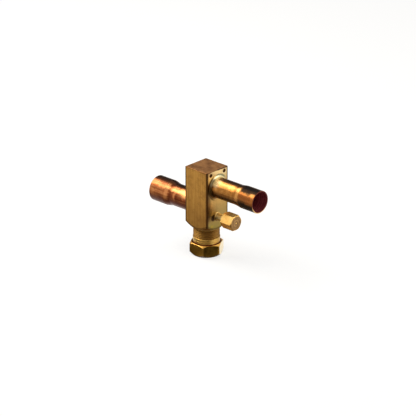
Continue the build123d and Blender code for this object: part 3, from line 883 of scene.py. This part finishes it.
# %% finishes of the small pieces
def steel_finish(name, light, dark, rough_base):
    f = Finish(name)
    scratches = f.noise(1.0, (2400, 300, 300), detail=4)
    colour = f.ramp(scratches, (0.3, dark), (0.7, light))
    return f.done(colour, f.plus(scratches, 0.25, rough_base), 1.0,
                  f.relief(scratches, 0.15, 0.03 * MM))


def soft_finish(name, light, dark, rough_base, metal=0.0, grain=900):
    f = Finish(name)
    bloom = f.noise(grain, detail=4)
    colour = f.ramp(bloom, (0.35, dark), (0.7, light))
    return f.done(colour, f.plus(bloom, 0.25, rough_base), metal,
                  f.relief(bloom, 0.2, 0.05 * MM))


wear("core_pin", steel_finish("ground_steel", tone(206, 206, 202), tone(150, 150, 150), 0.2))
wear("core_spring", steel_finish("spring_wire", tone(190, 190, 186), tone(120, 120, 122), 0.22))
wear("stem_retaining_ring",
     steel_finish("phosphated_steel", tone(120, 120, 118), tone(70, 70, 72), 0.35))
rubber = soft_finish("seal_rubber", tone(44, 44, 46), tone(20, 20, 22), 0.5)
for seal in ("core_seat_washer", "port_cap_seal", "stem_o_ring_outer", "stem_o_ring_inner"):
    wear(seal, rubber)
wear("core_gasket",
     soft_finish("sealing_plastic", tone(238, 238, 232), tone(214, 212, 204), 0.35))
wear("seal_cap_gasket", soft_finish("soft_copper", tone(214, 132, 92), tone(150, 82, 52), 0.3,
                                    metal=1.0, grain=300))

# %% [markdown]
# ## Cutting the threads
#
# The solids are plain at the core of each thread. Four ridges put the threads on: the neck, the
# inside of its cap, the port barrel and the inside of its cap. Each rides on the piece it is cut
# in, so unscrewing a cap shows a real screw on both sides. An inner thread starts half a turn
# later than its outer one, so that the two ridges lie in each other's grooves.

# %% the threads of the neck and the seal cap
NECK_PITCH = 1.814 * MM
NECK_DEPTH = 0.9 * MM
CAP_DEPTH = 0.6 * MM
half_turn = Matrix.Rotation(math.pi, 4, "Z")
neck_low = NECK_END + 1.2 * MM
at_neck = Matrix.Translation((0, 0, neck_low))
neck_turns = (BLOCK_BOTTOM - 1.6 * MM - neck_low) / NECK_PITCH
cut_thread("neck_thread", "valve", nodes["valve_body"].data.materials[0],
           NECK_R, NECK_DEPTH, NECK_PITCH, neck_turns, at_neck)
cap_turns = (CAP_TOP - 1.4 * MM - neck_low) / NECK_PITCH
cut_thread("seal_cap_thread", "seal_cap", nodes["seal_cap"].data.materials[0],
           NECK_R + 0.1 * MM, CAP_DEPTH, NECK_PITCH, cap_turns, at_neck @ half_turn)

# %% [markdown]
# ## The port's threads
#
# The port lies down, so its threads are grown upright like the others, shifted along their axis
# and then laid over to +X.

# %% the threads of the port and its cap
PORT_PITCH = 1.27 * MM
PORT_DEPTH = 0.55 * MM
PORT_CAP_DEPTH = 0.45 * MM
BARREL_R = (fitting_high.z - fitting_low.z) / 2
BARREL_LOW, BARREL_HIGH = 27.4 * MM, 36.3 * MM
barrel_turns = (BARREL_HIGH - BARREL_LOW) / PORT_PITCH
lying = Matrix.Translation((0, 0, PORT_Z)) @ Matrix.Rotation(math.pi / 2, 4, "Y")
at_barrel = lying @ Matrix.Translation((0, 0, BARREL_LOW))
cut_thread("port_thread", "valve", fitting_brass,
           BARREL_R, PORT_DEPTH, PORT_PITCH, barrel_turns, at_barrel)
cut_thread("port_cap_thread", "port_cap", nodes["port_cap"].data.materials[0],
           BARREL_R + 0.05 * MM, PORT_CAP_DEPTH, PORT_PITCH, barrel_turns, at_barrel @ half_turn)

# %% [markdown]
# ## The return spring
#
# The solid of the core spring can't change its length. It is hidden, and a copy of its mesh,
# riding on the valve, stands in for it. One end rests in the core body.


def return_spring():
    spring = bpy.data.objects.new("return_spring", nodes["core_spring"].data.copy())
    bpy.context.scene.collection.objects.link(spring)
    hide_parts("core_spring")
    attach(spring, "valve")
    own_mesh(spring)


return_spring()

# %% [markdown]
# ## Floor and surround
#
# The valve stands on a pale floor in a pale surround. Both are white where the camera, a mirror
# or glass sees them, and quieter for the light that reaches the object, so the floor can keep a
# soft shadow while nothing on the brass burns out. Light Path tells these rays apart.


# %% a switch for what is seen directly
def emptied(tree):
    """Clear a node tree. Gives two short hands for it: add a node, link two sockets."""
    tree.nodes.clear()
    return tree.nodes.new, tree.links.new


def seen_directly(add, link):
    """1 for camera, glossy and transmission rays, 0 for the rays that light the object."""
    path = add("ShaderNodeLightPath")
    level = path.outputs["Is Camera Ray"]
    for kind in ("Is Glossy Ray", "Is Transmission Ray"):
        larger = add("ShaderNodeMath")
        larger.operation = "MAXIMUM"
        link(level, larger.inputs[0])
        link(path.outputs[kind], larger.inputs[1])
        level = larger.outputs[0]
    return level


# %% the floor
FLOOR_REACH = 3.0
FLOOR_TONE = (0.38, 0.38, 0.375, 1)
FLOOR_GLOW = 0.69


def pale_floor():
    far = FLOOR_REACH
    mesh = bpy.data.meshes.new("floor")
    mesh.from_pydata([(-far, -far, 0), (far, -far, 0), (far, far, 0), (-far, far, 0)], [],
                     [(0, 1, 2, 3)])
    floor = bpy.data.objects.new("floor", mesh)
    bpy.context.scene.collection.objects.link(floor)
    paint = bpy.data.materials.new("pale_floor")
    paint.use_nodes = True
    add, link = emptied(paint.node_tree)
    matt = add("ShaderNodeBsdfDiffuse")
    matt.inputs["Color"].default_value = FLOOR_TONE
    level = add("ShaderNodeMath")
    level.operation = "MULTIPLY"
    level.inputs[1].default_value = FLOOR_GLOW
    link(seen_directly(add, link), level.inputs[0])
    glow = add("ShaderNodeEmission")
    link(level.outputs[0], glow.inputs["Strength"])
    both = add("ShaderNodeAddShader")
    link(matt.outputs[0], both.inputs[0])
    link(glow.outputs[0], both.inputs[1])
    link(both.outputs[0], add("ShaderNodeOutputMaterial").inputs["Surface"])
    mesh.materials.append(paint)
    print(f"floor {2 * far:g} m wide")


pale_floor()


# %% the surround
SEEN_TONE, SEEN_LEVEL = (1, 1, 1, 1), 1.0
LIGHT_TONE, LIGHT_LEVEL = (1.0, 0.98, 0.95, 1), 0.5


def pale_world():
    world = bpy.data.worlds.new("pale_surround")
    bpy.context.scene.world = world
    world.use_nodes = True
    add, link = emptied(world.node_tree)
    switch = add("ShaderNodeMixShader")
    link(seen_directly(add, link), switch.inputs[0])
    for slot, (colour, level) in enumerate(((LIGHT_TONE, LIGHT_LEVEL), (SEEN_TONE, SEEN_LEVEL))):
        sky = add("ShaderNodeBackground")
        sky.inputs["Color"].default_value = colour
        sky.inputs["Strength"].default_value = level
        link(sky.outputs[0], switch.inputs[slot + 1])
    link(switch.outputs[0], add("ShaderNodeOutputWorld").inputs["Surface"])
    print(f"surround lights at {LIGHT_LEVEL:g}")


pale_world()
bpy.context.scene.view_settings.view_transform = "Standard"

# %% [markdown]
# ## Camera
#
# A long lens from far away keeps the bar's edges nearly parallel. The camera stands 43.4 degrees
# round and 23 degrees up, and looks at a point halfway up the valve.

# %% camera at the viewing angle
AZIMUTH, ELEVATION = math.radians(43.4), math.radians(23.0)
WIDE = 0.436  # metres across the view at the valve
LENS, SENSOR = 250.0, 36.0
back = Vector((math.sin(AZIMUTH) * math.cos(ELEVATION),
               -math.cos(AZIMUTH) * math.cos(ELEVATION), math.sin(ELEVATION)))
right = Vector((math.cos(AZIMUTH), math.sin(AZIMUTH), 0))
aim = Vector((0, 0, 50.4 * MM)) + right * 1.55 * MM
camera_data = bpy.data.cameras.new("camera")
camera_data.lens = LENS
camera_data.sensor_width = SENSOR
camera_data.clip_start, camera_data.clip_end = 0.05, 20
camera = bpy.data.objects.new("camera", camera_data)
bpy.context.scene.collection.objects.link(camera)
distance = WIDE / 2 * LENS / (SENSOR / 2)
camera.location = aim + back * distance
camera.rotation_mode = "QUATERNION"
camera.rotation_quaternion = (-back).to_track_quat("-Z", "Y")
bpy.context.scene.camera = camera
print(f"camera {distance:.2f} m away")

# %% [markdown]
# ## Lamps
#
# A soft key from the upper left and a weak fill from the right, both large area lamps, so that
# round metal carries broad, quiet highlights.


# %% the two lamps
LIT_POINT = Vector((0, 0, 55 * MM))


def soft_lamp(name, direction, reach, size, power, colour=(1, 1, 1)):
    data = bpy.data.lights.new(name, "AREA")
    data.shape = "RECTANGLE"
    data.size, data.size_y = size
    data.energy = power
    data.color = colour
    lamp = bpy.data.objects.new(name, data)
    toward = Vector(direction).normalized()
    lamp.location = LIT_POINT + toward * reach
    lamp.rotation_mode = "QUATERNION"
    lamp.rotation_quaternion = (-toward).to_track_quat("-Z", "Y")
    bpy.context.scene.collection.objects.link(lamp)
    print(f"{name} lamp, {power:g} W from {reach:g} m")


soft_lamp("key", (-0.63, -0.24, 0.74), 1.0, (0.8, 0.55), 6.8, (1.0, 0.98, 0.94))
soft_lamp("fill", (0.75, 0.45, 0.45), 1.2, (0.7, 0.7), 3.0)

# %% [markdown]
# ## Dark cards
#
# Metal is nothing but what it mirrors, so a few dark cards stand outside the frame. Only
# reflections see them: they give the tubes their dark edges, as black card does in a studio. A
# card thins out to nothing at its rim, so that its mirror image has no hard edge either. A
# value stored on its mesh, `shade`, carries that.


# %% the sheet and its paint
CARD_TINT = (1.0, 0.93, 0.84, 1)
RIM_SLOPE = 4  # the rim fades over a quarter of the card's width


def card_paint(name, level):
    paint = bpy.data.materials.new(name)
    paint.use_nodes = True
    add, link = emptied(paint.node_tree)
    glow = add("ShaderNodeEmission")
    glow.inputs["Color"].default_value = CARD_TINT
    glow.inputs["Strength"].default_value = level
    solid = add("ShaderNodeAttribute")
    solid.attribute_name = "shade"
    both = add("ShaderNodeMixShader")
    link(solid.outputs["Fac"], both.inputs[0])
    link(add("ShaderNodeBsdfTransparent").outputs[0], both.inputs[1])
    link(glow.outputs[0], both.inputs[2])
    link(both.outputs[0], add("ShaderNodeOutputMaterial").inputs["Surface"])
    return paint


def card(name, place, level, columns=14, rows=8):
    """A sheet seen only in the metal. `place` turns (u, v), both 0 to 1, into a point."""
    corners, shade = [], []
    for row in range(rows + 1):
        for column in range(columns + 1):
            u, v = column / columns, row / rows
            corners.append(tuple(place(u, v)))
            shade.append(min(1.0, RIM_SLOPE * min(u, 1 - u)) * min(1.0, RIM_SLOPE * min(v, 1 - v)))
    wide = columns + 1
    faces = [(r * wide + c, r * wide + c + 1, (r + 1) * wide + c + 1, (r + 1) * wide + c)
             for r in range(rows) for c in range(columns)]
    mesh = bpy.data.meshes.new(name)
    mesh.from_pydata(corners, [], faces)
    mesh.attributes.new("shade", "FLOAT", "POINT").data.foreach_set("value", shade)
    mesh.materials.append(card_paint(name, level))
    sheet = bpy.data.objects.new(name, mesh)
    bpy.context.scene.collection.objects.link(sheet)
    for kind in ("visible_camera", "visible_diffuse", "visible_shadow", "visible_transmission"):
        setattr(sheet, kind, False)
    print(f"{name} at level {level:g}")


# %% [markdown]
# ## Where the cards stand
#
# Three wedges lie on the floor in front of, beside and under the valve, for all that faces down.
# Their reach grows by a constant factor, so they fade gently near the object. One tall sheet
# stands behind.


# %% wedges on the floor and a sheet behind
CARD_LIFT = 0.4 * MM


def floor_card(name, from_deg, to_deg, inner, outer, level):
    def place(u, v):
        angle = math.radians(from_deg + (to_deg - from_deg) * u)
        reach = inner * (outer / inner) ** v
        return reach * math.cos(angle), reach * math.sin(angle), CARD_LIFT
    card(name, place, level)


def standing_card(name, direction, reach, size, level):
    towards = Vector(direction).normalized()
    across = towards.cross(Vector((0, 0, 1))).normalized()
    rise = across.cross(towards)

    def place(u, v):
        return towards * reach + across * (u - 0.5) * size[0] + rise * (v - 0.5) * size[1]
    card(name, place, level)


floor_card("card_front", -96, 2, 12 * MM, 0.9, 0.18)
floor_card("card_left", -170, -90, 50 * MM, 0.5, 0.6)
floor_card("card_under", -176, -60, 8 * MM, 110 * MM, 0.1)
standing_card("card_behind", (-0.632, 0.669, 0.36), 1.3, (2.2, 1.25), 0.12)
